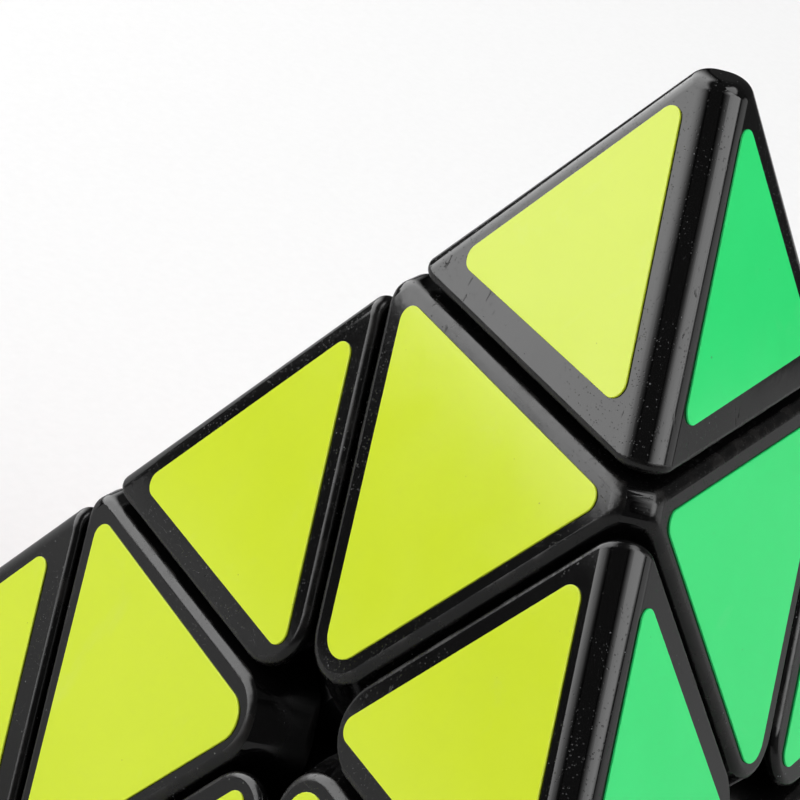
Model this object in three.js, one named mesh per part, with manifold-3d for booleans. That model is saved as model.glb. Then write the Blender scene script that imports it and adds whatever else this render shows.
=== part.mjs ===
// A four-sided twisting puzzle: a regular pyramid cut into four tips, four corner blocks and six
// edge blocks, all held by sprung screws on a four-armed core. Millimetres, +Z up, origin at the
// centre of the core, resting face down, the top tip on +Z and the front face towards -Y.
import * as THREE from "three";
import { ConvexGeometry } from "three/addons/geometries/ConvexGeometry.js";
import { mergeVertices } from "three/addons/utils/BufferGeometryUtils.js";
import Module from "manifold-3d";

// The pyramid and its cuts.
const EDGE = 98; // length of a pyramid edge before rounding
const TO_FACE = (EDGE * Math.sqrt(6)) / 12; // core centre to a face
const TO_VERTEX = 3 * TO_FACE; // core centre to a sharp vertex
const LAYER = (4 * TO_FACE) / 3; // thickness of one of the three layers
const TIP_CUT = TO_VERTEX - LAYER; // cut that frees a tip
const LAYER_CUT = TO_VERTEX - 2 * LAYER; // cut that frees a two-layer corner
const CLEARANCE = 0.3; // on each side of a cut

// Roundings of the outer shapes.
const EDGE_FILLET = 2.2; // the pyramid's own edges and vertices
const TIP_FLAT = 54.9; // core centre to the blunt end of a tip
const TIP_FLAT_RIM = 1.6;
const SHARP_RIM = 0.6; // where a face runs into a cut at 70.5 degrees, on tips and edge blocks
const BLUNT_RIM = 0.9; // the same at 109.5 degrees, on corner blocks
const PIT_FILLET = 4; // corners that meet at the middle of a face
const NUB_FILLET = 1.8; // small ends that meet on a pyramid edge
const FOOT_FILLET = 1; // corners of the hidden feet

// The hidden interlock: two spheres about the core centre and one plane for each axis.
const FOOT_TOP = 16; // sphere between the feet and the outer blocks
const FOOT_BOTTOM = 12.5; // sphere between the feet and the flanges
const SPHERE_CLEARANCE = 0.2; // on each side of a sphere
const FOOT_CUT = 2.5; // plane between neighbouring feet and necks
const FLANGE_CUT = 7.3; // lower face of a flange

// The stem of a corner block.
const NECK_RADIUS = 6;
const POST_RADIUS = 4.6;
const POST_TOP = 30.6;
const POST_BORE = 1.6; // clears the screw
const ARM_SOCKET = 3.7; // clears an arm of the core

// The core.
const HUB_RADIUS = 6.5;
const ARM_RADIUS = 3.4;
const ARM_LENGTH = 15;
const PILOT_BORE = 1.55; // holds the screw
const PILOT_DEPTH = 7; // distance from the core centre to the bottom of the hole
const ARM_BEVEL = 0.6;

// The screw, spring and washer inside a tip.
const SCREW_RADIUS = 1.25;
const SCREW_START = 8; // distance from the core centre to the screw's point
const SCREW_HEAD_BASE = 41.2;
const SCREW_HEAD_HEIGHT = 1.6;
const SCREW_HEAD_RADIUS = 2.5;
const SCREW_HEAD_BEVEL = 0.7;
const CROSS_SLOT = { length: 2.6, width: 0.6, depth: 0.9 };
const WASHER_RADIUS = 2.6;
const WASHER_THICKNESS = 0.5;
const SPRING_RADIUS = 2.15; // to the middle of the wire
const SPRING_WIRE = 0.3; // wire radius
const SPRING_TURNS = 4;
const SPRING_BASE = 35.9; // height of the lowest coil's middle
const SPRING_TOP = 39.9;
const WASHER_GAP = 0.15; // between the spring and the washer

// The tip's hub and the pocket that takes it.
const HUB_BASE_RADIUS = 7.4;
const HUB_TOP_RADIUS = 4.1;
const HUB_TOP = 43.4;
const HUB_BORE = 3;
const HUB_FLOOR = 35.3;
const FIT = 0.3; // gap between pieces that are pressed or glued together

// The pocket of a corner block and the tongue and socket of an edge block.
const POCKET_RADIUS = 10.6;
const POCKET_SHOULDER = 23;
const POCKET_TOP = 31.2;
const POCKET_TOP_RADIUS = 7;
const TONGUE = { length: 7, width: 3.8, top: 25.4 };

const ROUND = 18; // segments round a turned piece
const BALL_DETAIL = 3; // subdivisions of the spheres

const wasm = await Module();
wasm.setup();

// The four axes from the core centre to the vertices.
const SPREAD = Math.sqrt(8) / 3;
const axisAt = (degrees) =>
  new THREE.Vector3(
    SPREAD * Math.cos(THREE.MathUtils.degToRad(degrees)),
    SPREAD * Math.sin(THREE.MathUtils.degToRad(degrees)),
    -1 / 3,
  );
const AXES = {
  top: new THREE.Vector3(0, 0, 1),
  left: axisAt(210),
  right: axisAt(330),
  back: axisAt(90),
};
const LOWER_AXES = [AXES.left, AXES.right, AXES.back];

const plastic = new THREE.MeshStandardMaterial({ color: 0x0b0b0d, roughness: 0.22, metalness: 0 });
const innerPlastic = new THREE.MeshStandardMaterial({ color: 0x17171a, roughness: 0.45, metalness: 0 });
const steel = new THREE.MeshStandardMaterial({ color: 0xb4b6ba, roughness: 0.3, metalness: 1 });
const springSteel = new THREE.MeshStandardMaterial({ color: 0x9a9ca0, roughness: 0.25, metalness: 1 });

// ---- Solids ----

function toSolid(geometry) {
  const bare = geometry.clone();
  bare.deleteAttribute("normal");
  bare.deleteAttribute("uv");
  const merged = mergeVertices(bare, 1e-4);
  return new wasm.Manifold(
    new wasm.Mesh({
      numProp: 3,
      vertProperties: new Float32Array(merged.attributes.position.array),
      triVerts: new Uint32Array(merged.index.array),
    }),
  );
}

function toGeometry(solid) {
  const mesh = solid.getMesh();
  const geometry = new THREE.BufferGeometry();
  geometry.setAttribute("position", new THREE.BufferAttribute(mesh.vertProperties, 3));
  geometry.setIndex(new THREE.BufferAttribute(mesh.triVerts, 1));
  geometry.computeVertexNormals();
  return geometry;
}

// A solid turned about Z from a closed outline of [radius, height] pairs, anticlockwise.
function turned(outline) {
  const points = outline.map(([radius, height]) => new THREE.Vector2(radius, height));
  points.push(points[0].clone());
  return toSolid(new THREE.LatheGeometry(points, ROUND).rotateX(Math.PI / 2));
}

function ball(radius) {
  return toSolid(new THREE.IcosahedronGeometry(radius, BALL_DETAIL));
}

// A half-space that keeps what lies below offset along normal.
const below = (normal, offset) => ({ normal: normal.clone().normalize(), offset });
const above = (normal, offset) => below(normal.clone().negate(), -offset);

// The plane that touches a rounding of the given radius between planes, leaning by the weights.
function rounding(planes, weights, radius) {
  const normal = new THREE.Vector3();
  planes.forEach((plane, i) => normal.addScaledVector(plane.normal, weights[i]));
  const scale = 1 / normal.length();
  let offset = radius;
  planes.forEach((plane, i) => {
    offset += scale * weights[i] * (plane.offset - radius);
  });
  return below(normal, offset);
}

function fillet(a, b, radius, count) {
  return Array.from({ length: count }, (_, i) => rounding([a, b], [count - i, i + 1], radius));
}

// The convex solid that lies inside every plane.
function insideOf(planes) {
  const corners = [];
  for (let i = 0; i < planes.length; i += 1) {
    for (let j = i + 1; j < planes.length; j += 1) {
      for (let k = j + 1; k < planes.length; k += 1) {
        const corner = meeting(planes[i], planes[j], planes[k]);
        if (!corner) continue;
        if (planes.some((p) => p.normal.dot(corner) > p.offset + 1e-5)) continue;
        if (corners.every((other) => other.distanceTo(corner) > 1e-3)) corners.push(corner);
      }
    }
  }
  return toSolid(new ConvexGeometry(corners));
}

// The point where three planes meet, or nothing where two of them are nearly parallel.
function meeting(p, q, r) {
  const qr = q.normal.clone().cross(r.normal);
  const volume = p.normal.dot(qr);
  if (Math.abs(volume) < 1e-4) return null;
  const rp = r.normal.clone().cross(p.normal);
  const pq = p.normal.clone().cross(q.normal);
  return qr
    .multiplyScalar(p.offset)
    .addScaledVector(rp, q.offset)
    .addScaledVector(pq, r.offset)
    .divideScalar(volume);
}

// ---- The top tip: a cap over a sprung hub ----

const FACES = LOWER_AXES.map((axis) => above(axis, -TO_FACE));
const PAIRS = [
  [0, 1],
  [1, 2],
  [2, 0],
];

function tipCap() {
  const cut = above(AXES.top, TIP_CUT + CLEARANCE);
  const strips = PAIRS.flatMap(([i, j]) => fillet(FACES[i], FACES[j], EDGE_FILLET, 4));
  const crown = [
    [1, 1, 1],
    [2, 1, 1],
    [1, 2, 1],
    [1, 1, 2],
  ].map((weights) => rounding(FACES, weights, EDGE_FILLET));
  const outer = [...FACES, ...strips];
  const blunt = below(AXES.top, TIP_FLAT);
  crown.push(blunt, ...outer.flatMap((plane) => fillet(plane, blunt, TIP_FLAT_RIM, 1)));
  const rims = outer.map((plane) => rounding([plane, cut], [1, 1], SHARP_RIM));
  const pocket = turned([
    [0, TIP_CUT],
    [HUB_BASE_RADIUS + FIT, TIP_CUT],
    [HUB_TOP_RADIUS + FIT, HUB_TOP + FIT],
    [0, HUB_TOP + FIT],
  ]);
  return insideOf([...outer, ...crown, ...rims, cut]).subtract(pocket);
}

function tipHub() {
  const base = TIP_CUT + CLEARANCE;
  return turned([
    [POST_BORE, base],
    [HUB_BASE_RADIUS, base],
    [HUB_TOP_RADIUS, HUB_TOP],
    [HUB_BORE, HUB_TOP],
    [HUB_BORE, HUB_FLOOR],
    [POST_BORE, HUB_FLOOR],
  ]);
}

// ---- The corner block under a tip: a housing on a flanged stem ----

function cornerHousing() {
  const tipCut = below(AXES.top, TIP_CUT - CLEARANCE);
  const innerCut = above(AXES.top, LAYER_CUT + CLEARANCE);
  const sideCuts = LOWER_AXES.map((axis) => below(axis, LAYER_CUT - CLEARANCE));
  const ridges = PAIRS.flatMap(([i, j]) => fillet(FACES[i], FACES[j], EDGE_FILLET, 3));
  const pits = PAIRS.flatMap(([i, j]) => fillet(sideCuts[i], sideCuts[j], PIT_FILLET, 3));
  const nubs = sideCuts.flatMap((cut) => fillet(tipCut, cut, NUB_FILLET, 1));
  const rims = FACES.flatMap((face, i) => [
    rounding([face, tipCut], [1, 1], BLUNT_RIM),
    ...sideCuts.filter((_, j) => j !== i).map((cut) => rounding([face, cut], [1, 1], BLUNT_RIM)),
  ]);
  const pocket = turned([
    [0, 0],
    [POCKET_RADIUS, 0],
    [POCKET_RADIUS, POCKET_SHOULDER],
    [POCKET_TOP_RADIUS, POCKET_TOP],
    [0, POCKET_TOP],
  ]);
  const bore = turned([
    [0, 0],
    [POST_BORE, 0],
    [POST_BORE, TIP_CUT],
    [0, TIP_CUT],
  ]);
  const outline = [...FACES, tipCut, innerCut, ...sideCuts, ...ridges, ...pits, ...nubs, ...rims];
  return insideOf(outline)
    .subtract(ball(FOOT_TOP + SPHERE_CLEARANCE))
    .subtract(pocket)
    .subtract(bore);
}

// Flange, neck and post in one turned piece, bored for the core's arm and the screw.
function cornerStem() {
  const rim = FOOT_BOTTOM - SPHERE_CLEARANCE;
  const startAngle = Math.acos(FLANGE_CUT / rim);
  const endAngle = Math.asin(NECK_RADIUS / rim);
  const arcSteps = 3;
  const arc = Array.from({ length: arcSteps + 1 }, (_, i) => {
    const angle = startAngle + ((endAngle - startAngle) * i) / arcSteps;
    return [rim * Math.sin(angle), rim * Math.cos(angle)];
  });
  const neckTop = FOOT_TOP - SPHERE_CLEARANCE;
  return turned([
    [ARM_SOCKET, FLANGE_CUT],
    ...arc,
    [NECK_RADIUS, neckTop],
    [POST_RADIUS, neckTop + 1],
    [POST_RADIUS, POST_TOP],
    [POST_BORE, POST_TOP],
    [POST_BORE, ARM_LENGTH + CLEARANCE],
    [ARM_SOCKET, ARM_LENGTH + CLEARANCE],
  ]);
}

// ---- The edge block: a cap on a foot that hooks under the corner housings ----
// Made with Z outwards, X from face middle to face middle and Y along the pyramid's edge.

const RISE = Math.sqrt(1 / 3); // how far a face or a cut leans towards Z
const RUN = Math.sqrt(2 / 3);
const EDGE_FACES = [1, -1].map((side) => below(new THREE.Vector3(side * RUN, 0, RISE), TO_FACE));
const edgeAxis = (side) => new THREE.Vector3(0, side * RUN, RISE);
const otherAxis = (side) => new THREE.Vector3(side * RUN, 0, -RISE);

function edgeCap() {
  const cuts = [1, -1].map((side) => above(edgeAxis(side), LAYER_CUT + CLEARANCE));
  const ridge = fillet(EDGE_FACES[0], EDGE_FACES[1], EDGE_FILLET, 4);
  const heel = fillet(cuts[0], cuts[1], PIT_FILLET, 4);
  const outer = [...EDGE_FACES, ...ridge];
  const rims = outer.flatMap((plane) => cuts.map((cut) => rounding([plane, cut], [1, 1], SHARP_RIM)));
  const socket = new THREE.BoxGeometry(TONGUE.length + 2 * FIT, TONGUE.width + 2 * FIT, TONGUE.top + FIT);
  socket.translate(0, 0, (TONGUE.top + FIT) / 2);
  return insideOf([...outer, ...cuts, ...heel, ...rims])
    .subtract(ball(FOOT_TOP + SPHERE_CLEARANCE))
    .subtract(toSolid(socket));
}

function edgeFoot() {
  const inner = [1, -1].map((side) => above(edgeAxis(side), FOOT_CUT + CLEARANCE));
  const outer = [1, -1].map((side) => below(otherAxis(side), FOOT_CUT - CLEARANCE));
  const corners = inner.flatMap((a) => outer.flatMap((b) => fillet(a, b, FOOT_FILLET, 1)));
  const lid = below(new THREE.Vector3(0, 0, 1), FOOT_TOP);
  const shell = insideOf([...inner, ...outer, ...corners, lid])
    .intersect(ball(FOOT_TOP - SPHERE_CLEARANCE))
    .subtract(ball(FOOT_BOTTOM + SPHERE_CLEARANCE));
  const tongueBase = (FOOT_TOP + FOOT_BOTTOM) / 2;
  const tongue = new THREE.BoxGeometry(TONGUE.length, TONGUE.width, TONGUE.top - tongueBase);
  tongue.translate(0, 0, (TONGUE.top + tongueBase) / 2);
  return shell.add(toSolid(tongue));
}

// ---- The core and its fasteners ----

function coreSpider() {
  let spider = ball(HUB_RADIUS);
  for (const axis of Object.values(AXES)) {
    const turn = new THREE.Quaternion().setFromUnitVectors(AXES.top, axis);
    const placed = (solid) => toSolid(toGeometry(solid).applyQuaternion(turn));
    const arm = turned([
      [0, 0],
      [ARM_RADIUS, 0],
      [ARM_RADIUS, ARM_LENGTH - ARM_BEVEL],
      [ARM_RADIUS - ARM_BEVEL, ARM_LENGTH],
      [0, ARM_LENGTH],
    ]);
    const bore = turned([
      [0, PILOT_DEPTH],
      [PILOT_BORE, PILOT_DEPTH],
      [PILOT_BORE, ARM_LENGTH + 1],
      [0, ARM_LENGTH + 1],
    ]);
    spider = spider.add(placed(arm)).subtract(placed(bore));
  }
  return spider;
}

function screw() {
  const headTop = SCREW_HEAD_BASE + SCREW_HEAD_HEIGHT;
  const body = turned([
    [0, SCREW_START],
    [SCREW_RADIUS, SCREW_START + SCREW_RADIUS],
    [SCREW_RADIUS, SCREW_HEAD_BASE],
    [SCREW_HEAD_RADIUS, SCREW_HEAD_BASE],
    [SCREW_HEAD_RADIUS, headTop - SCREW_HEAD_BEVEL],
    [SCREW_HEAD_RADIUS - SCREW_HEAD_BEVEL, headTop],
    [0, headTop],
  ]);
  const slots = [
    [CROSS_SLOT.length, CROSS_SLOT.width],
    [CROSS_SLOT.width, CROSS_SLOT.length],
  ].map(([length, width]) =>
    toSolid(new THREE.BoxGeometry(length, width, 2 * CROSS_SLOT.depth).translate(0, 0, headTop)),
  );
  return body.subtract(slots[0]).subtract(slots[1]);
}

function washer() {
  return turned([
    [POST_BORE, 0],
    [WASHER_RADIUS, 0],
    [WASHER_RADIUS, WASHER_THICKNESS],
    [POST_BORE, WASHER_THICKNESS],
  ]);
}

class Coil extends THREE.Curve {
  getPoint(t, target = new THREE.Vector3()) {
    const angle = 2 * Math.PI * SPRING_TURNS * t;
    const height = THREE.MathUtils.lerp(SPRING_BASE, SPRING_TOP, t);
    return target.set(SPRING_RADIUS * Math.cos(angle), SPRING_RADIUS * Math.sin(angle), height);
  }
}

function spring() {
  const wire = new THREE.Shape();
  wire.absarc(0, 0, SPRING_WIRE, 0, 2 * Math.PI);
  const stepsPerTurn = 10;
  return toSolid(
    new THREE.ExtrudeGeometry(wire, {
      curveSegments: 3,
      steps: stepsPerTurn * SPRING_TURNS,
      extrudePath: new Coil(),
    }),
  );
}

// ---- Assembly ----

const puzzle = new THREE.Group();

function place(parent, name, geometry, material) {
  const mesh = new THREE.Mesh(geometry, material.clone());
  mesh.name = name;
  parent.add(mesh);
  return mesh;
}

place(puzzle, "core_spider", toGeometry(coreSpider()), innerPlastic);

const CORNER_PIECES = {
  tip_cap: [toGeometry(tipCap()), plastic],
  tip_hub: [toGeometry(tipHub()), innerPlastic],
  corner_housing: [toGeometry(cornerHousing()), plastic],
  corner_stem: [toGeometry(cornerStem()), innerPlastic],
  screw: [toGeometry(screw()), steel],
  washer: [toGeometry(washer()), steel],
  spring: [toGeometry(spring()), springSteel],
};

// A half turn about the line between two axes carries one onto the other and the pyramid onto itself.
for (const [corner, axis] of Object.entries(AXES)) {
  const arm = new THREE.Group();
  if (corner !== "top") {
    arm.quaternion.setFromAxisAngle(axis.clone().add(AXES.top).normalize(), Math.PI);
  }
  for (const [piece, [geometry, material]] of Object.entries(CORNER_PIECES)) {
    place(arm, `${piece}_${corner}`, geometry, material);
  }
  arm.getObjectByName(`washer_${corner}`).position.z = SPRING_TOP + SPRING_WIRE + WASHER_GAP;
  puzzle.add(arm);
}

const EDGE_PIECES = {
  edge_cap: [toGeometry(edgeCap()), plastic],
  edge_foot: [toGeometry(edgeFoot()), innerPlastic],
};
const EDGES = [
  ["top", "left", "right", "back"],
  ["top", "right", "back", "left"],
  ["top", "back", "left", "right"],
  ["left", "right", "back", "top"],
  ["right", "back", "left", "top"],
  ["back", "left", "right", "top"],
];

for (const [near, far, one, other] of EDGES) {
  const outward = AXES[near].clone().add(AXES[far]).normalize();
  const across = AXES[one].clone().sub(AXES[other]).normalize();
  const along = outward.clone().cross(across);
  const block = new THREE.Group();
  block.quaternion.setFromRotationMatrix(new THREE.Matrix4().makeBasis(across, along, outward));
  for (const [piece, [geometry, material]] of Object.entries(EDGE_PIECES)) {
    place(block, `${piece}_${near}_${far}`, geometry, material);
  }
  puzzle.add(block);
}

export default puzzle;
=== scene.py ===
"""Looks of a pyramid twisting puzzle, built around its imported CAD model.

The fourteen outer blocks are rebuilt with true fillets, thirty-six stickers are laid on their
faces, and the hidden core, stems and fasteners keep their CAD shapes. Shapes are worked out in
millimetres and turned into metres when a mesh is made.
"""
import math
import random

import bpy
import bmesh
from mathutils import Matrix, Vector


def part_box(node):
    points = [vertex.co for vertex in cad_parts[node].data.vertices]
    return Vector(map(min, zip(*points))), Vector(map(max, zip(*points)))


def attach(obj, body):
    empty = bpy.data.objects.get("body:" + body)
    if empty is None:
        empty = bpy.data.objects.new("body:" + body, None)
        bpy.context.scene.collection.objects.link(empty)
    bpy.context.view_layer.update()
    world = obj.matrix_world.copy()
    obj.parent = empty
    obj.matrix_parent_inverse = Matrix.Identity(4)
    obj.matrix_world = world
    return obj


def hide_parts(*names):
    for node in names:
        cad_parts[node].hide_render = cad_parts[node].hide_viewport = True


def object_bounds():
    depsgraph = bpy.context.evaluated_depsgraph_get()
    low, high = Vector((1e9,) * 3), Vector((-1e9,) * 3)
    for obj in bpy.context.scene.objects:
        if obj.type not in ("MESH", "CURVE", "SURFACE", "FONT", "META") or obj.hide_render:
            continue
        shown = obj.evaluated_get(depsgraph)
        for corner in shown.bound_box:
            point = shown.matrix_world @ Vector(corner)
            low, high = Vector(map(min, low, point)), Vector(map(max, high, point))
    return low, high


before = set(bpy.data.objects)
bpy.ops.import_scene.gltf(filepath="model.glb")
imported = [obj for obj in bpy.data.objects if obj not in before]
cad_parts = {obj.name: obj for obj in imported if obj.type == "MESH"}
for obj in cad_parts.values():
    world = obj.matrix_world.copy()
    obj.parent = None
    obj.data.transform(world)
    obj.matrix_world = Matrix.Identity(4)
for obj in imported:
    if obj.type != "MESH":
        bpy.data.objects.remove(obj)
cad_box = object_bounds()

MM = 0.001

# ---- The puzzle's frame, read from the CAD ----

CLEARANCE = 0.3  # on each side of a cut
TO_FACE = -cad_box[0].z / MM  # core centre to a face
TO_VERTEX = 3 * TO_FACE  # core centre to a sharp vertex
TIP_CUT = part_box("tip_cap_top")[0].z / MM - CLEARANCE
LAYER_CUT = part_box("corner_housing_top")[0].z / MM - CLEARANCE
SPREAD = math.sqrt(8) / 3  # how far an axis leans out of the opposite one
FACE_REACH = (TIP_CUT - TO_FACE / 3) / SPREAD  # in a face, from its centre to a tip cut

AXES = {"top": Vector((0, 0, 1))}
for corner, degrees in (("left", 210), ("right", 330), ("back", 90)):
    turn = math.radians(degrees)
    AXES[corner] = Vector((SPREAD * math.cos(turn), SPREAD * math.sin(turn), -1 / 3))
LOWER_AXES = [AXES["left"], AXES["right"], AXES["back"]]

# Each edge block: the two corners it joins, then the corners opposite its two faces.
EDGES = (
    ("top", "left", "right", "back"),
    ("top", "right", "back", "left"),
    ("top", "back", "left", "right"),
    ("left", "right", "back", "top"),
    ("right", "back", "left", "top"),
    ("back", "left", "right", "top"),
)
# Colour of the face opposite each corner.
FACE_COLOURS = {"back": "yellow", "left": "green", "right": "red", "top": "blue"}

# Roundings, as radii.
EDGE_FILLET = 2.2
SHARP_RIM = 0.6
BLUNT_RIM = 0.9
PIT_FILLET = 4.0
NUB_FILLET = 1.8
# How much fuller a rim gets where it crosses a pyramid edge.
NUB_SWELL = NUB_FILLET - BLUNT_RIM
RIDGE_SWELL = 0.1
TIP_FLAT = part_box("tip_cap_top")[1].z / MM
TIP_FLAT_RIM = 1.6
STEP_ANGLE = math.radians(9)  # largest turn from one strip of a rounding to the next
ROLL_ANGLE = math.radians(16)  # edges that turn less than this belong to a rounding already

# Hidden cavities, the same as in the CAD.
FOOT_SPHERE = 16.2
POCKET = ((0, 0), (10.6, 0), (10.6, 23), (7, 31.2), (0, 31.2))
BORE = ((0, 0), (1.6, 0), (1.6, 34), (0, 34))
HUB_POCKET = ((0, 33), (7.7, 33), (4.4, 43.7), (0, 43.7))
SOCKET = (7.6, 4.4, 25.7)

random.seed(20)


# ---- Convex bodies from their planes ----
# A plane is (normal, offset, kind) and keeps what lies below offset along normal.

TOUCH = 1e-7
REACH = 150.0  # half the side of the cube that a body is cut from
CROWN_STEPS = 9
ROLL_STEPS = 5


def below(normal, offset, kind):
    return (normal.normalized(), offset, kind)


def above(normal, offset, kind):
    return (-normal.normalized(), -offset, kind)


def leaning(planes, normal, weights, radius, kind):
    """The plane with this normal that touches the rounding between planes.

    normal is the sum of the planes' own normals times the weights."""
    offset = radius + sum(w * (plane[1] - radius) for w, plane in zip(weights, planes))
    return (normal, offset, kind)


def fillet(a, b, radius, kind):
    """Planes that touch the rounding between planes a and b, at equal steps."""
    angle = a[0].angle(b[0])
    count = math.ceil(angle / STEP_ANGLE)
    made = []
    for step in range(1, count):
        weights = (
            math.sin((1 - step / count) * angle) / math.sin(angle),
            math.sin(step / count * angle) / math.sin(angle),
        )
        normal = a[0] * weights[0] + b[0] * weights[1]
        made.append(leaning((a, b), normal, weights, radius, kind))
    return made


def between(planes, count):
    """Weights and normals that fill the corner between three planes."""
    for i in range(1, count):
        for j in range(1, count - i):
            weights = [i, j, count - i - j]
            normal = sum((w * plane[0] for w, plane in zip(weights, planes)), Vector((0, 0, 0)))
            yield [w / normal.length for w in weights], normal.normalized()


def ridge_rims(ridge, cut, radius, swell):
    """The rounding between a pyramid edge's own rounding and a cut, fullest at its middle."""
    made = []
    for step, plane in enumerate(ridge, 1):
        fuller = radius + swell * math.sin(math.pi * step / (len(ridge) + 1))
        made += fillet(plane, cut, fuller, "rim")
    return made


def crown(planes, radius, kind):
    """Planes that touch the ball in the corner between three planes."""
    directions = between(planes, CROWN_STEPS)
    return [leaning(planes, normal, weights, radius, kind) for weights, normal in directions]


def clip(corners, faces, plane, key):
    """Cuts a convex body by a plane. faces maps each plane's key to its outline of corner numbers."""
    normal, offset = plane[0], plane[1]
    heights = [normal.x * c[0] + normal.y * c[1] + normal.z * c[2] - offset for c in corners]
    if max(heights) <= TOUCH:
        return corners, faces
    kept, numbers, cut, successor = [], {}, {}, {}

    def carry(name, point):
        if name not in numbers:
            numbers[name] = len(kept)
            kept.append(point)
        return numbers[name]

    for face, outline in faces.items():
        loop = []
        leaving = entering = None
        for a, b in zip(outline, outline[1:] + outline[:1]):
            stays = heights[a] <= TOUCH
            if stays:
                loop.append(carry(a, corners[a]))
            if stays == (heights[b] <= TOUCH):
                continue
            low, high = (a, b) if stays else (b, a)
            if heights[low] > -TOUCH:
                crossing = carry(low, corners[low])
            else:
                share = heights[low] / (heights[low] - heights[high])
                point = tuple(p + (q - p) * share for p, q in zip(corners[low], corners[high]))
                crossing = carry((low, high), point)
            loop.append(crossing)
            if stays:
                leaving = crossing
            else:
                entering = crossing
        loop = [n for i, n in enumerate(loop) if n != loop[i - 1]]
        if len(loop) >= 3:
            cut[face] = loop
        if leaving != entering:
            successor[entering] = leaving
    start = next(iter(successor))
    cap = [start]
    while successor[cap[-1]] != start:
        cap.append(successor[cap[-1]])
    cut[key] = cap
    return kept, cut


def convex(planes):
    """Corners and outlines of the body inside every plane."""
    ends = (-REACH, REACH)
    corners = [(x, y, z) for x in ends for y in ends for z in ends]
    sides = ([0, 1, 3, 2], [4, 6, 7, 5], [0, 4, 5, 1], [2, 3, 7, 6], [0, 2, 6, 4], [1, 5, 7, 3])
    faces = {-1 - i: side for i, side in enumerate(sides)}
    for key, plane in enumerate(planes):
        corners, faces = clip(corners, faces, plane, key)
    return corners, faces


def rolled(planes, radius):
    """Planes that round every sharp edge and corner left, as a ball rolled inside would."""
    corners, faces = convex([(n, offset - radius, kind) for n, offset, kind in planes])
    owner = {}
    around = {}
    for face, outline in faces.items():
        for a, b in zip(outline, outline[1:] + outline[:1]):
            owner[(a, b)] = face
            around.setdefault(a, []).append(face)
    made = []
    for (a, b), face in owner.items():
        other = owner[(b, a)]
        if face < other and planes[face][0].angle(planes[other][0]) > ROLL_ANGLE:
            made += fillet(planes[face], planes[other], radius, "rim")
    for corner, touching in around.items():
        apart = []
        for face in touching:
            if all(planes[face][0].angle(p[0]) > ROLL_ANGLE for p in apart):
                apart.append(planes[face])
        for third in range(2, len(apart)):
            triple = (apart[0], apart[third - 1], apart[third])
            for _, normal in between(triple, ROLL_STEPS):
                made.append((normal, normal.dot(Vector(corners[corner])) + radius, "rim"))
    return made


# ---- Meshes ----

TURNED_SEGMENTS = 48
BALL_STEPS = 24
SHARP_ANGLE = 30  # degrees: edges that turn more than this stay sharp
STICKER_SHARP_ANGLE = 40


def body_mesh(name, planes):
    """A mesh of the body inside planes, with one flat face for each plane."""
    corners, faces = convex(planes)
    mesh = bpy.data.meshes.new(name)
    mesh.from_pydata([[c * MM for c in corner] for corner in corners], [], list(faces.values()))
    mesh.update()
    worn = mesh.attributes.new("wear", "FLOAT", "FACE")
    worn.data.foreach_set("value", [float(planes[key][2] == "rim") for key in faces])
    return mesh


def turned_mesh(name, outline):
    """A closed solid turned about Z from an outline of (radius, height) pairs."""
    form = bmesh.new()
    rings = []
    for radius, height in outline:
        if radius == 0:
            rings.append([form.verts.new((0, 0, height * MM))])
            continue
        ring = []
        for step in range(TURNED_SEGMENTS):
            angle = 2 * math.pi * step / TURNED_SEGMENTS
            x, y = radius * math.cos(angle), radius * math.sin(angle)
            ring.append(form.verts.new((x * MM, y * MM, height * MM)))
        rings.append(ring)
    for low, high in zip(rings, rings[1:]):
        for step in range(TURNED_SEGMENTS):
            after = (step + 1) % TURNED_SEGMENTS
            quad = [low[step % len(low)], low[after % len(low)]]
            quad += [high[after % len(high)], high[step % len(high)]]
            corners = list(dict.fromkeys(quad))
            if len(corners) >= 3:
                form.faces.new(corners)
    bmesh.ops.recalc_face_normals(form, faces=form.faces)
    mesh = bpy.data.meshes.new(name)
    form.to_mesh(mesh)
    form.free()
    return mesh


def ball_mesh(radius):
    arc = []
    for step in range(1, BALL_STEPS):
        angle = math.pi * step / BALL_STEPS
        arc.append((math.sin(angle) * radius, -math.cos(angle) * radius))
    return turned_mesh("ball", [(0, -radius), *arc, (0, radius)])


def box_mesh(size):
    form = bmesh.new()
    bmesh.ops.create_cube(form, size=MM)
    bmesh.ops.scale(form, vec=size, verts=form.verts)
    bmesh.ops.translate(form, vec=(0, 0, size[2] / 2 * MM), verts=form.verts)
    mesh = bpy.data.meshes.new("box")
    form.to_mesh(mesh)
    form.free()
    return mesh


def hollowed(mesh, cutters):
    """The mesh with the cutters taken out of it."""
    solid = bpy.data.objects.new("solid", mesh)
    bpy.context.scene.collection.objects.link(solid)
    tools = []
    for cutter in cutters:
        tool = bpy.data.objects.new("tool", cutter)
        bpy.context.scene.collection.objects.link(tool)
        tools.append(tool)
        cut = solid.modifiers.new("cut", "BOOLEAN")
        cut.operation = "DIFFERENCE"
        cut.solver = "EXACT"
        cut.object = tool
    graph = bpy.context.evaluated_depsgraph_get()
    made = bpy.data.meshes.new_from_object(solid.evaluated_get(graph))
    for thing in (solid, *tools):
        bpy.data.objects.remove(thing)
    return made


def smooth(mesh, angle=SHARP_ANGLE):
    mesh.polygons.foreach_set("use_smooth", [True] * len(mesh.polygons))
    mesh.set_sharp_from_angle(angle=math.radians(angle))


def add_piece(name, mesh, body, material):
    piece = bpy.data.objects.new(name, mesh)
    bpy.context.scene.collection.objects.link(piece)
    mesh.materials.clear()
    mesh.materials.append(material)
    even = piece.modifiers.new("flat faces stay flat", "WEIGHTED_NORMAL")
    even.keep_sharp = True
    even.weight = 100
    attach(piece, body)
    return piece


# ---- Outer blocks ----

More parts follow.
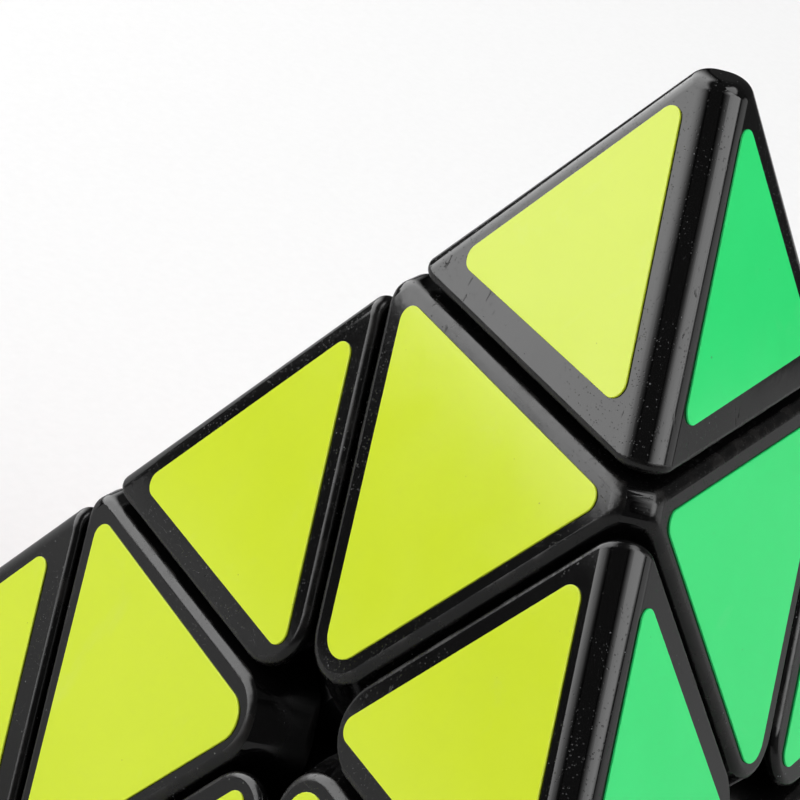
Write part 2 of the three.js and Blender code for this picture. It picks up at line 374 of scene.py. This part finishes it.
FACES = [above(axis, -TO_FACE, "flat") for axis in LOWER_AXES]
PAIRS = ((0, 1), (1, 2), (2, 0))


def tip_shell():
    cut = above(AXES["top"], TIP_CUT + CLEARANCE, "flat")
    blunt = below(AXES["top"], TIP_FLAT, "ridge")
    outer = [*FACES, cut, blunt]
    for i, j in PAIRS:
        ridge = fillet(FACES[i], FACES[j], EDGE_FILLET, "ridge")
        outer += ridge + ridge_rims(ridge, cut, SHARP_RIM, RIDGE_SWELL)
        for plane in (FACES[i], *ridge):
            outer += fillet(plane, blunt, TIP_FLAT_RIM, "ridge")
    outer += crown(FACES, EDGE_FILLET, "ridge")
    mesh = body_mesh("tip", outer + rolled(outer, SHARP_RIM))
    return hollowed(mesh, [turned_mesh("hub", HUB_POCKET)])


def housing_shell():
    tip_cut = below(AXES["top"], TIP_CUT - CLEARANCE, "flat")
    inner_cut = above(AXES["top"], LAYER_CUT + CLEARANCE, "flat")
    side_cuts = [below(axis, LAYER_CUT - CLEARANCE, "flat") for axis in LOWER_AXES]
    outer = [*FACES, tip_cut, inner_cut, *side_cuts]
    for i, j in PAIRS:
        ridge = fillet(FACES[i], FACES[j], EDGE_FILLET, "ridge")
        # The side cut that crosses this pyramid edge is the one opposite neither of its faces.
        side_cut = side_cuts[3 - i - j]
        outer += ridge
        outer += ridge_rims(ridge, tip_cut, BLUNT_RIM, NUB_SWELL)
        outer += ridge_rims(ridge, side_cut, BLUNT_RIM, NUB_SWELL)
        outer += fillet(side_cuts[i], side_cuts[j], PIT_FILLET, "ridge")
    for side in side_cuts:
        outer += fillet(tip_cut, side, NUB_FILLET, "ridge")
    mesh = body_mesh("housing", outer + rolled(outer, BLUNT_RIM))
    cutters = [ball_mesh(FOOT_SPHERE), turned_mesh("pocket", POCKET), turned_mesh("bore", BORE)]
    return hollowed(mesh, cutters)


def edge_shell():
    """Made with Z outwards, X from face middle to face middle and Y along the pyramid's edge."""
    rise, run = math.sqrt(1 / 3), math.sqrt(2 / 3)
    faces = [below(Vector((side * run, 0, rise)), TO_FACE, "flat") for side in (1, -1)]
    cuts = [above(Vector((0, side * run, rise)), LAYER_CUT + CLEARANCE, "flat") for side in (1, -1)]
    outer = [*faces, *cuts]
    ridge = fillet(*faces, EDGE_FILLET, "ridge")
    outer += ridge
    for cut in cuts:
        outer += ridge_rims(ridge, cut, SHARP_RIM, RIDGE_SWELL)
    outer += fillet(*cuts, PIT_FILLET, "ridge")
    mesh = body_mesh("edge", outer + rolled(outer, SHARP_RIM))
    return hollowed(mesh, [ball_mesh(FOOT_SPHERE), box_mesh(SOCKET)])


# ---- Stickers ----

TIP_INSETS = (3.05, 3.55)  # from the tip cut, then from the two pyramid edges
HOUSING_INSETS = (1.61, 1.78)  # from the tip cut, then from the two layer cuts
EDGE_INSETS = (2.45, 3.42)  # from the two layer cuts, then from the pyramid edge
STICKER_THICKNESS = 0.14
STICKER_GAP = 0.01  # between a face and a sticker's back
STICKER_BEVEL = 0.05
BEVEL_TURN = 0.3  # where the bevel bends, as a share of it
CORNER_STEPS = 10
CORNER_RADIUS = 1.03
PIT_CORNER_RADIUS = 1.88  # the corner of a corner block's sticker that points at the face's middle
LAID_OFF = 0.12  # how far off its place a sticker may be laid, and by how many degrees
LAID_TURN = 0.6
# Stickers laid further off than that: shift in the row frame, then degrees.
LAID = {
    "sticker_yellow_tip_top": ((-0.22, 0.02, 0.08), 0.7),
    "sticker_yellow_corner_top": ((0.22, 0.07, 0.21), -0.3),
    "sticker_yellow_edge_top_left": ((0.18, 0.06, 0.16), 0.2),
    "sticker_yellow_edge_top_right": ((-0.20, 0.0, 0.0), 0.1),
    "sticker_yellow_corner_left": ((0.2, 0.0, 0.0), -0.6),
    "sticker_green_tip_top": ((0.3, -0.5, 0.08), 0.9),
    "sticker_green_corner_top": ((0.28, -0.35, -0.2), -0.3),
    "sticker_green_edge_top_right": ((0.25, -0.45, 0.0), 0.3),
}


def sticker_mesh(normal, directions, limits, radii, shift, degrees):
    """A thin plate on a face: the rounded triangle where each direction stays above its limit.

    radii has one for each corner, which lies opposite its direction's side. shift and degrees
    say how far off its place the sticker was laid."""
    u = directions[0]
    v = normal.cross(u)
    flat = [Vector((d.dot(u), d.dot(v))) for d in directions]
    outline = []
    shift = Vector((shift.dot(u), shift.dot(v)))
    for i in range(3):
        a, b = flat[i], flat[(i + 1) % 3]
        radius = radii[(i + 2) % 3]
        level_a, level_b = limits[i] + radius, limits[(i + 1) % 3] + radius
        cross = a.x * b.y - a.y * b.x
        x = (level_a * b.y - level_b * a.y) / cross
        y = (a.x * level_b - b.x * level_a) / cross
        middle = Vector((x, y))
        first = math.atan2(-a.y, -a.x)
        for step in range(CORNER_STEPS + 1):
            angle = first + math.radians(120) * step / CORNER_STEPS
            outline.append((middle, radius, Vector((math.cos(angle), math.sin(angle)))))
    centre = sum((middle for middle, _, _ in outline), Vector((0, 0))) / len(outline)
    turn = Matrix.Rotation(math.radians(degrees), 2)
    layers = (
        (0.0, STICKER_GAP),
        (0.0, STICKER_THICKNESS - STICKER_BEVEL),
        (BEVEL_TURN * STICKER_BEVEL, STICKER_THICKNESS - BEVEL_TURN * STICKER_BEVEL),
        (STICKER_BEVEL, STICKER_THICKNESS),
    )
    form = bmesh.new()
    rings = []
    for inset, height in layers:
        ring = []
        for middle, radius, away in outline:
            spot = turn @ (middle + away * (radius - inset) - centre) + centre + shift
            ring.append(form.verts.new((normal * (TO_FACE + height) + u * spot.x + v * spot.y) * MM))
        rings.append(ring)
    form.faces.new(list(reversed(rings[0])))
    form.faces.new(rings[-1])
    for low, high in zip(rings, rings[1:]):
        for i in range(len(low)):
            j = (i + 1) % len(low)
            form.faces.new((low[i], low[j], high[j], high[i]))
    mesh = bpy.data.meshes.new("sticker")
    form.to_mesh(mesh)
    form.free()
    smooth(mesh, STICKER_SHARP_ANGLE)
    return mesh


# ---- Materials ----


class Nodes:
    """A material's node tree, with short calls to add and join nodes."""

    def __init__(self, name):
        self.material = bpy.data.materials.new(name)
        self.material.use_nodes = True
        self.tree = self.material.node_tree
        self.shader = self.tree.nodes["Principled BSDF"]
        self.place = self.add("ShaderNodeTexCoord").outputs["Object"]

    def add(self, kind, inputs=None, **settings):
        node = self.tree.nodes.new(kind)
        for key, value in settings.items():
            setattr(node, key, value)
        for socket, value in (inputs or {}).items():
            self.feed(node.inputs[socket], value)
        return node

    def feed(self, socket, value):
        if isinstance(value, bpy.types.NodeSocket):
            self.tree.links.new(value, socket)
        else:
            socket.default_value = value

    def noise(self, scale, detail=2.0, roughness=0.5, distortion=0.0, place=None):
        inputs = {
            "Vector": place or self.place,
            "Scale": scale,
            "Detail": detail,
            "Roughness": roughness,
            "Distortion": distortion,
        }
        return self.add("ShaderNodeTexNoise", inputs).outputs["Fac"]

    def scaled(self, scale, turn=(0, 0, 0), shift=(0, 0, 0)):
        inputs = {"Vector": self.place, "Scale": scale, "Rotation": turn, "Location": shift}
        return self.add("ShaderNodeMapping", inputs).outputs["Vector"]

    def ramp(self, value, low, high, to_low=0.0, to_high=1.0):
        inputs = {"Value": value, "From Min": low, "From Max": high}
        inputs |= {"To Min": to_low, "To Max": to_high}
        return self.add("ShaderNodeMapRange", inputs, clamp=True).outputs["Result"]

    def math(self, operation, a, b=0.0):
        node = self.add("ShaderNodeMath", operation=operation)
        self.feed(node.inputs[0], a)
        self.feed(node.inputs[1], b)
        return node.outputs[0]

    def mix(self, share, a, b):
        node = self.add("ShaderNodeMix", data_type="RGBA")
        self.feed(node.inputs["Factor"], share)
        self.feed(node.inputs["A"], a)
        self.feed(node.inputs["B"], b)
        return node.outputs["Result"]

    def specks(self, scale, size, share, place=None):
        """Round specks: size is their radius as a share of a cell, share is how many cells hold one."""
        inputs = {"Vector": place or self.place, "Scale": scale, "Randomness": 1.0}
        cells = self.add("ShaderNodeTexVoronoi", inputs)
        split = self.add("ShaderNodeSeparateColor", {"Color": cells.outputs["Color"]})
        chosen = self.math("LESS_THAN", split.outputs[0], share)
        own_size = self.ramp(split.outputs[1], 0.0, 1.0, 0.4 * size, size)
        near = self.math("SUBTRACT", own_size, cells.outputs["Distance"])
        round_spot = self.ramp(near, 0.0, 0.35 * size)
        return self.math("MULTIPLY", chosen, round_spot)

    def bump(self, height, distance, strength=1.0, below=None):
        inputs = {"Height": height, "Distance": distance, "Strength": strength}
        if below is not None:
            inputs["Normal"] = below
        return self.add("ShaderNodeBump", inputs).outputs["Normal"]


def rgb(red, green, blue):
    return (red, green, blue, 1.0)


SHELL_IOR = 1.52
RIM_ROUGHNESS = 0.13  # added on rims
WALL_ROUGHNESS = 0.35  # added on the walls of the cuts
WALL_DEPTHS = (1.2, 3.2)  # how far under a face the walls begin to dull, and are fully dull
# Hairline scratches: how they lie, in radians, and how many fit a metre along and across them.
SCRATCH_SETS = ((0.4, 26), (1.5, 18), (2.5, 34))
SCRATCH_ACROSS = 1500
STICKER_IOR = 1.46


def shell_material():
    """Glossy black moulded plastic with dust, pits, hairline scratches and scuffed rims."""
    n = Nodes("shell_plastic")
    worn = n.add("ShaderNodeAttribute", attribute_name="wear").outputs["Fac"]
    # The walls of the cuts are satin, not polished.
    height = 0.0
    for axis in AXES.values():
        product = n.add("ShaderNodeVectorMath", {0: n.place, 1: -axis}, operation="DOT_PRODUCT")
        height = n.math("MAXIMUM", height, product.outputs["Value"])
    deep, shallow = (TO_FACE - WALL_DEPTHS[1]) * MM, (TO_FACE - WALL_DEPTHS[0]) * MM
    wall = n.ramp(height, deep, shallow, 1.0, 0.0)
    patches = n.ramp(n.noise(75, 4, 0.65), 0.46, 0.62)
    dust = n.math("MULTIPLY", n.specks(3600, 0.26, 0.07), n.ramp(n.noise(160, 3), 0.48, 0.62))
    fluff = n.specks(1300, 0.085, 0.07)
    pits = n.math("MULTIPLY", n.specks(5200, 0.36, 0.45), patches)
    scratches = []
    for angle, along in SCRATCH_SETS:
        stretched = n.scaled((SCRATCH_ACROSS, SCRATCH_ACROSS, along), (angle, 0.7 * angle, 1.3 * angle))
        scratches.append(n.ramp(n.noise(1, 2, 0.5, 0.4, stretched), 0.715, 0.77))
    scratch = n.math("MAXIMUM", n.math("MAXIMUM", scratches[0], scratches[1]), scratches[2])
    scratch = n.math("MULTIPLY", scratch, n.ramp(n.noise(55, 2), 0.46, 0.62))
    scuff = n.math("MULTIPLY", worn, n.ramp(n.noise(420, 4, 0.6), 0.45, 0.75))
    grime = n.math("MAXIMUM", dust, fluff)
    colour = n.mix(n.noise(60, 3), rgb(0.0018, 0.0018, 0.0020), rgb(0.0036, 0.0034, 0.0034))
    colour = n.mix(n.math("MULTIPLY", scuff, 0.5), colour, rgb(0.020, 0.017, 0.015))
    colour = n.mix(n.math("MULTIPLY", grime, 0.8), colour, rgb(0.20, 0.21, 0.22))
    n.feed(n.shader.inputs["Base Color"], colour)
    rough = n.ramp(n.noise(140, 4, 0.6), 0.3, 0.75, 0.04, 0.10)
    rough = n.math("ADD", rough, n.math("MULTIPLY", worn, RIM_ROUGHNESS))
    rough = n.math("ADD", rough, n.math("MULTIPLY", wall, WALL_ROUGHNESS))
    marks = n.math("MAXIMUM", n.math("MULTIPLY", scratch, 0.30), n.math("MULTIPLY", grime, 0.5))
    rough = n.math("ADD", rough, n.math("MAXIMUM", marks, n.math("MULTIPLY", scuff, 0.22)))
    n.feed(n.shader.inputs["Roughness"], rough)
    n.shader.inputs["IOR"].default_value = SHELL_IOR
    wavy = n.bump(n.noise(130, 1), 0.014 * MM)
    peel = n.bump(n.noise(1500, 1), 0.0009 * MM, below=wavy)
    rolling = n.bump(n.math("MULTIPLY", worn, n.noise(330, 2, 0.5)), 0.04 * MM, below=peel)
    dented = n.bump(n.math("MULTIPLY", worn, n.noise(900, 2)), 0.022 * MM, below=rolling)
    scored = n.bump(n.math("MULTIPLY", scratch, -1.0), 0.01 * MM, below=dented)
    pitted = n.bump(n.math("MULTIPLY", pits, -1.0), 0.022 * MM, below=scored)
    raised = n.bump(grime, 0.02 * MM, below=pitted)
    n.feed(n.shader.inputs["Normal"], raised)
    return n.material


def sticker_material(name, colour, shade):
    """Smooth vinyl film with faint mottling, a few specks and rubbed patches."""
    n = Nodes(name)
    mottle = n.ramp(n.noise(70, 3, 0.55), 0.3, 0.7)
    specks = n.math("MAXIMUM", n.specks(520, 0.045, 0.12), n.specks(1700, 0.085, 0.03))
    smudge = n.math("MULTIPLY", n.ramp(n.noise(120, 5, 0.65, 0.6), 0.6, 0.8), 0.05)
    base = n.mix(mottle, colour, shade)
    base = n.mix(smudge, base, rgb(0.8, 0.8, 0.78))
    base = n.mix(n.math("MULTIPLY", specks, 0.75), base, rgb(0.12, 0.12, 0.05))
    n.feed(n.shader.inputs["Base Color"], base)
    rough = n.ramp(n.noise(260, 4, 0.6), 0.25, 0.8, 0.09, 0.17)
    n.feed(n.shader.inputs["Roughness"], n.math("ADD", rough, smudge))
    n.shader.inputs["IOR"].default_value = STICKER_IOR
    wavy = n.bump(n.noise(95, 2), 0.02 * MM)
    fine = n.bump(n.noise(1900, 2), 0.0012 * MM, below=wavy)
    raised = n.bump(specks, 0.02 * MM, below=fine)
    n.feed(n.shader.inputs["Normal"], raised)
    return n.material


def inner_material():
    """Satin black moulding for the hidden parts."""
    n = Nodes("inner_plastic")
    colour = n.mix(n.noise(80, 4), rgb(0.012, 0.012, 0.013), rgb(0.028, 0.028, 0.030))
    colour = n.mix(n.math("MULTIPLY", n.specks(2600, 0.2, 0.06), 0.5), colour, rgb(0.2, 0.2, 0.2))
    n.feed(n.shader.inputs["Base Color"], colour)
    n.feed(n.shader.inputs["Roughness"], n.ramp(n.noise(300, 4), 0.3, 0.7, 0.32, 0.5))
    n.feed(n.shader.inputs["Normal"], n.bump(n.noise(2500, 3), 0.004 * MM))
    return n.material


def metal_material(name, light, dark, roughness, stretch):
    """Plated or drawn metal with fine turning marks."""
    n = Nodes(name)
    marks = n.noise(1, 3, 0.6, 0.2, n.scaled(stretch))
    n.feed(n.shader.inputs["Base Color"], n.mix(marks, light, dark))
    n.shader.inputs["Metallic"].default_value = 1.0
    n.feed(n.shader.inputs["Roughness"], n.ramp(marks, 0.2, 0.8, roughness, roughness + 0.15))
    n.feed(n.shader.inputs["Normal"], n.bump(marks, 0.003 * MM))
    return n.material


SHELL = shell_material()
INNER = inner_material()
STEEL_COLOURS = (rgb(0.62, 0.63, 0.65), rgb(0.45, 0.46, 0.48))
WIRE_COLOURS = (rgb(0.50, 0.51, 0.53), rgb(0.36, 0.37, 0.39))
STEEL = metal_material("screw_steel", *STEEL_COLOURS, 0.22, (900, 900, 9000))
WIRE = metal_material("spring_steel", *WIRE_COLOURS, 0.25, (5000, 5000, 500))
STICKERS = {
    "yellow": sticker_material("sticker_yellow", rgb(0.67, 0.82, 0.032), rgb(0.70, 0.84, 0.038)),
    "green": sticker_material("sticker_green", rgb(0.030, 0.84, 0.205), rgb(0.038, 0.87, 0.225)),
    "red": sticker_material("sticker_red", rgb(0.70, 0.020, 0.030), rgb(0.74, 0.028, 0.040)),
    "blue": sticker_material("sticker_blue", rgb(0.010, 0.13, 0.62), rgb(0.014, 0.15, 0.66)),
}

# ---- Assembly ----

TOP_EDGES = [f"{near}_{far}" for near, far, _, _ in EDGES if "top" in (near, far)]


def corner_body(corner):
    return "top_layer" if corner == "top" else "core_and_base"


def edge_body(edge):
    return "top_layer" if edge in TOP_EDGES else "core_and_base"


def corner_turn(corner):
    """Carries the top corner onto another one: a half turn about the line between their axes."""
    if corner == "top":
        return Matrix.Identity(4)
    return Matrix.Rotation(math.pi, 4, AXES[corner] + AXES["top"])


def edge_turn(near, far, one, other):
    outward = (AXES[near] + AXES[far]).normalized()
    across = (AXES[one] - AXES[other]).normalized()
    return Matrix((across, outward.cross(across), outward)).transposed().to_4x4()


def placed(mesh, matrix):
    made = mesh.copy()
    made.transform(matrix)
    return made


def add_shell(name, mesh, body):
    return add_piece(name, mesh, body, SHELL)


def add_shells():
    tip, housing, edge = tip_shell(), housing_shell(), edge_shell()
    for mesh in (tip, housing, edge):
        smooth(mesh)
    for corner in AXES:
        turn = corner_turn(corner)
        cap = add_shell(f"shell_tip_{corner}", placed(tip, turn), f"tip_{corner}")
        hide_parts(f"tip_cap_{corner}")
        block = add_shell(f"shell_corner_{corner}", placed(housing, turn), corner_body(corner))
        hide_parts(f"corner_housing_{corner}")
    for near, far, one, other in EDGES:
        name = f"{near}_{far}"
        turn = edge_turn(near, far, one, other)
        block = add_shell(f"shell_edge_{name}", placed(edge, turn), edge_body(name))
        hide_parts(f"edge_cap_{name}")


def add_stickers():
    for opposite, colour in FACE_COLOURS.items():
        normal = -AXES[opposite]
        corners = [corner for corner in AXES if corner != opposite]
        lean = {c: (AXES[c] - normal * AXES[c].dot(normal)).normalized() for c in corners}
        material, slot = STICKERS[colour], f"sticker_{colour}"

        def add(name, body, order, limits, sign, first_radius=CORNER_RADIUS):
            name = f"sticker_{colour}_{name}"
            directions = [lean[c] * sign for c in order]
            if normal.dot(directions[0].cross(directions[1])) < 0:
                directions = [directions[0], directions[2], directions[1]]
                limits = [limits[0], limits[2], limits[1]]
            slip = Vector([random.uniform(-1, 1) for _ in range(3)]) * LAID_OFF
            twist = random.uniform(-LAID_TURN, LAID_TURN)
            if name in LAID:
                slip, twist = Vector(LAID[name][0]), LAID[name][1]
            radii = (first_radius, CORNER_RADIUS, CORNER_RADIUS)
            mesh = sticker_mesh(normal, directions, limits, radii, slip, twist)
            add_piece(name, mesh, body, material)

        for corner in corners:
            order = [corner] + [c for c in corners if c != corner]
            to_cut, to_edge = TIP_INSETS
            limits = [FACE_REACH + to_cut, to_edge - FACE_REACH, to_edge - FACE_REACH]
            add(f"tip_{corner}", f"tip_{corner}", order, limits, 1)
            to_cut, to_layer = HOUSING_INSETS
            limits = [to_cut - FACE_REACH, to_layer, to_layer]
            add(f"corner_{corner}", corner_body(corner), order, limits, -1, PIT_CORNER_RADIUS)
        for near, far, _, _ in EDGES:
            if opposite in (near, far):
                continue
            third = next(c for c in corners if c not in (near, far))
            to_layer, to_edge = EDGE_INSETS
            limits = [to_layer, to_layer, to_edge - FACE_REACH]
            edge = f"{near}_{far}"
            add(f"edge_{edge}", edge_body(edge), [near, far, third], limits, 1)


# The material of each CAD node that stays, by how its name starts.
CAD_FINISHES = {
    "core_spider": INNER,
    "corner_stem": INNER,
    "tip_hub": INNER,
    "edge_foot": INNER,
    "screw": STEEL,
    "washer": STEEL,
    "spring": WIRE,
}


def dress_cad_nodes():
    """The hidden CAD parts keep their shapes and get finished materials."""
    for name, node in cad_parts.items():
        for start, material in CAD_FINISHES.items():
            if name.startswith(start):
                for entry in node.material_slots:
                    entry.material = material


# ---- Stage: floor, soft lights, world and camera ----

FLOOR_RADIUS = 0.45
FLOOR_SEGMENTS = 96
FLOOR_GAP = 0.02  # millimetres under the stickers
FLOOR_MIRRORED = 0.37  # how pale the floor is in reflections
SCREEN_RADIUS = 1.0
SCREEN_COLUMNS, SCREEN_ROWS = 64, 24
WORLD_LIGHT = 0.06  # the world's own light on the object
WORLD_SEEN = 1.1  # and its brightness where the camera sees it


def add_floor():
    form = bmesh.new()
    bmesh.ops.create_circle(form, cap_ends=True, radius=FLOOR_RADIUS, segments=FLOOR_SEGMENTS)
    height = cad_box[0].z - (STICKER_THICKNESS + FLOOR_GAP) * MM
    bmesh.ops.translate(form, vec=(0, 0, height), verts=form.verts)
    mesh = bpy.data.meshes.new("floor")
    form.to_mesh(mesh)
    form.free()
    floor = bpy.data.objects.new("floor", mesh)
    bpy.context.scene.collection.objects.link(floor)
    n = Nodes("floor_paper")
    grain = n.noise(900, 3)
    paper = n.mix(grain, rgb(0.86, 0.86, 0.86), rgb(0.90, 0.90, 0.90))
    mirrored = n.add("ShaderNodeLightPath").outputs["Is Glossy Ray"]
    darker = rgb(FLOOR_MIRRORED, FLOOR_MIRRORED, FLOOR_MIRRORED)
    n.feed(n.shader.inputs["Base Color"], n.mix(mirrored, paper, darker))
    n.shader.inputs["Roughness"].default_value = 0.9
    n.shader.inputs["Specular IOR Level"].default_value = 0.0
    mesh.materials.append(n.material)


def ease(value, start, end):
    """Smooth step from 0 at start to 1 at end."""
    share = min(1.0, max(0.0, (value - start) / (end - start)))
    return share * share * (3 - 2 * share)


def away_from_middle(azimuth, elevation):
    """Unit vector at angles in degrees. Azimuths turn from -Y towards +X."""
    a, e = math.radians(azimuth), math.radians(elevation)
    return Vector((math.sin(a) * math.cos(e), -math.cos(a) * math.cos(e), math.sin(e)))


def add_screen(name, azimuths, elevations, strength, level):
    """A lit curved screen round the object, whose level is how bright it is at each angle."""
    form = bmesh.new()
    glow = form.verts.layers.float.new("glow")
    grid = []
    for row in range(SCREEN_ROWS + 1):
        elevation = elevations[0] + (elevations[1] - elevations[0]) * row / SCREEN_ROWS
        line = []
        for column in range(SCREEN_COLUMNS + 1):
            azimuth = azimuths[0] + (azimuths[1] - azimuths[0]) * column / SCREEN_COLUMNS
            vertex = form.verts.new(away_from_middle(azimuth, elevation) * SCREEN_RADIUS)
            vertex[glow] = level(azimuth, elevation)
            line.append(vertex)
        grid.append(line)
    for low, high in zip(grid, grid[1:]):
        for i in range(SCREEN_COLUMNS):
            form.faces.new((low[i], high[i], high[i + 1], low[i + 1]))
    mesh = bpy.data.meshes.new(name)
    form.to_mesh(mesh)
    form.free()
    screen = bpy.data.objects.new(name, mesh)
    bpy.context.scene.collection.objects.link(screen)
    screen.visible_camera = False
    n = Nodes(name)
    n.tree.nodes.remove(n.shader)
    stored = n.add("ShaderNodeAttribute", attribute_name="glow").outputs["Fac"]
    light = n.add("ShaderNodeEmission", {"Strength": n.math("MULTIPLY", stored, strength)})
    n.tree.links.new(light.outputs[0], n.tree.nodes["Material Output"].inputs["Surface"])
    mesh.materials.append(n.material)


def key_level(azimuth, elevation):
    return (1 - ease(elevation, 48, 62)) * ease(azimuth, -122, -88) * (1 - ease(azimuth, -34, 2))


def side_level(azimuth, elevation):
    edge = ease(elevation, 18, 24) * (1 - ease(elevation, 66, 78))
    return edge * ease(azimuth, 70, 112) * (1 - ease(azimuth, 138, 142))


def backdrop_level(azimuth, elevation):
    return (1 - ease(elevation, 19, 30)) * ease(azimuth, 128, 142) * (1 - ease(azimuth, 166, 178))


def overhead_level(azimuth, elevation):
    return ease(elevation, 50, 58) * ease(azimuth, 90, 110) * (1 - ease(azimuth, 190, 210))


# Name, azimuths, elevations, strength and level of each screen.
SCREENS = (
    ("key_light", (-125, 5), (3.45, 62), 3.2, key_level),
    ("side_light", (68, 143), (16, 78), 3.6, side_level),
    ("backdrop_glow", (128, 178), (-7, 30), 0.85, backdrop_level),
    ("overhead", (90, 210), (50, 80), 2.6, overhead_level),
)


def add_world():
    world = bpy.data.worlds.new("studio")
    world.use_nodes = True
    bpy.context.scene.world = world
    nodes, links = world.node_tree.nodes, world.node_tree.links
    seen = nodes.new("ShaderNodeLightPath").outputs["Is Camera Ray"]
    strength = nodes.new("ShaderNodeMapRange")
    links.new(seen, strength.inputs["Value"])
    strength.inputs["To Min"].default_value = WORLD_LIGHT
    strength.inputs["To Max"].default_value = WORLD_SEEN
    links.new(strength.outputs["Result"], nodes["Background"].inputs["Strength"])
    nodes["Background"].inputs["Color"].default_value = rgb(1, 1, 1)


CAMERA_PLACE = (0.146039, -0.123492, 0.115391)
CAMERA_RIGHT = Vector((0.46873, 0.84622, 0.25337))
CAMERA_UP = Vector((-0.49196, 0.01185, 0.87054))
CAMERA_AHEAD = Vector((-0.73367, 0.53270, -0.42186))
CAMERA_SENSOR, CAMERA_LENS = 36, 140.33  # millimetres
CAMERA_CLIP = (0.01, 20)


def add_camera():
    data = bpy.data.cameras.new("camera")
    camera = bpy.data.objects.new("camera", data)
    bpy.context.scene.collection.objects.link(camera)
    turn = Matrix((CAMERA_RIGHT, CAMERA_UP, -CAMERA_AHEAD)).transposed().to_4x4()
    camera.matrix_world = Matrix.Translation(CAMERA_PLACE) @ turn
    data.sensor_width = CAMERA_SENSOR
    data.lens = CAMERA_LENS
    data.clip_start, data.clip_end = CAMERA_CLIP
    bpy.context.scene.camera = camera


add_camera()
add_world()
add_floor()
for screen in SCREENS:
    add_screen(*screen)
add_shells()
add_stickers()
dress_cad_nodes()

view = bpy.context.scene.view_settings
view.view_transform = "Standard"
view.look = "None"
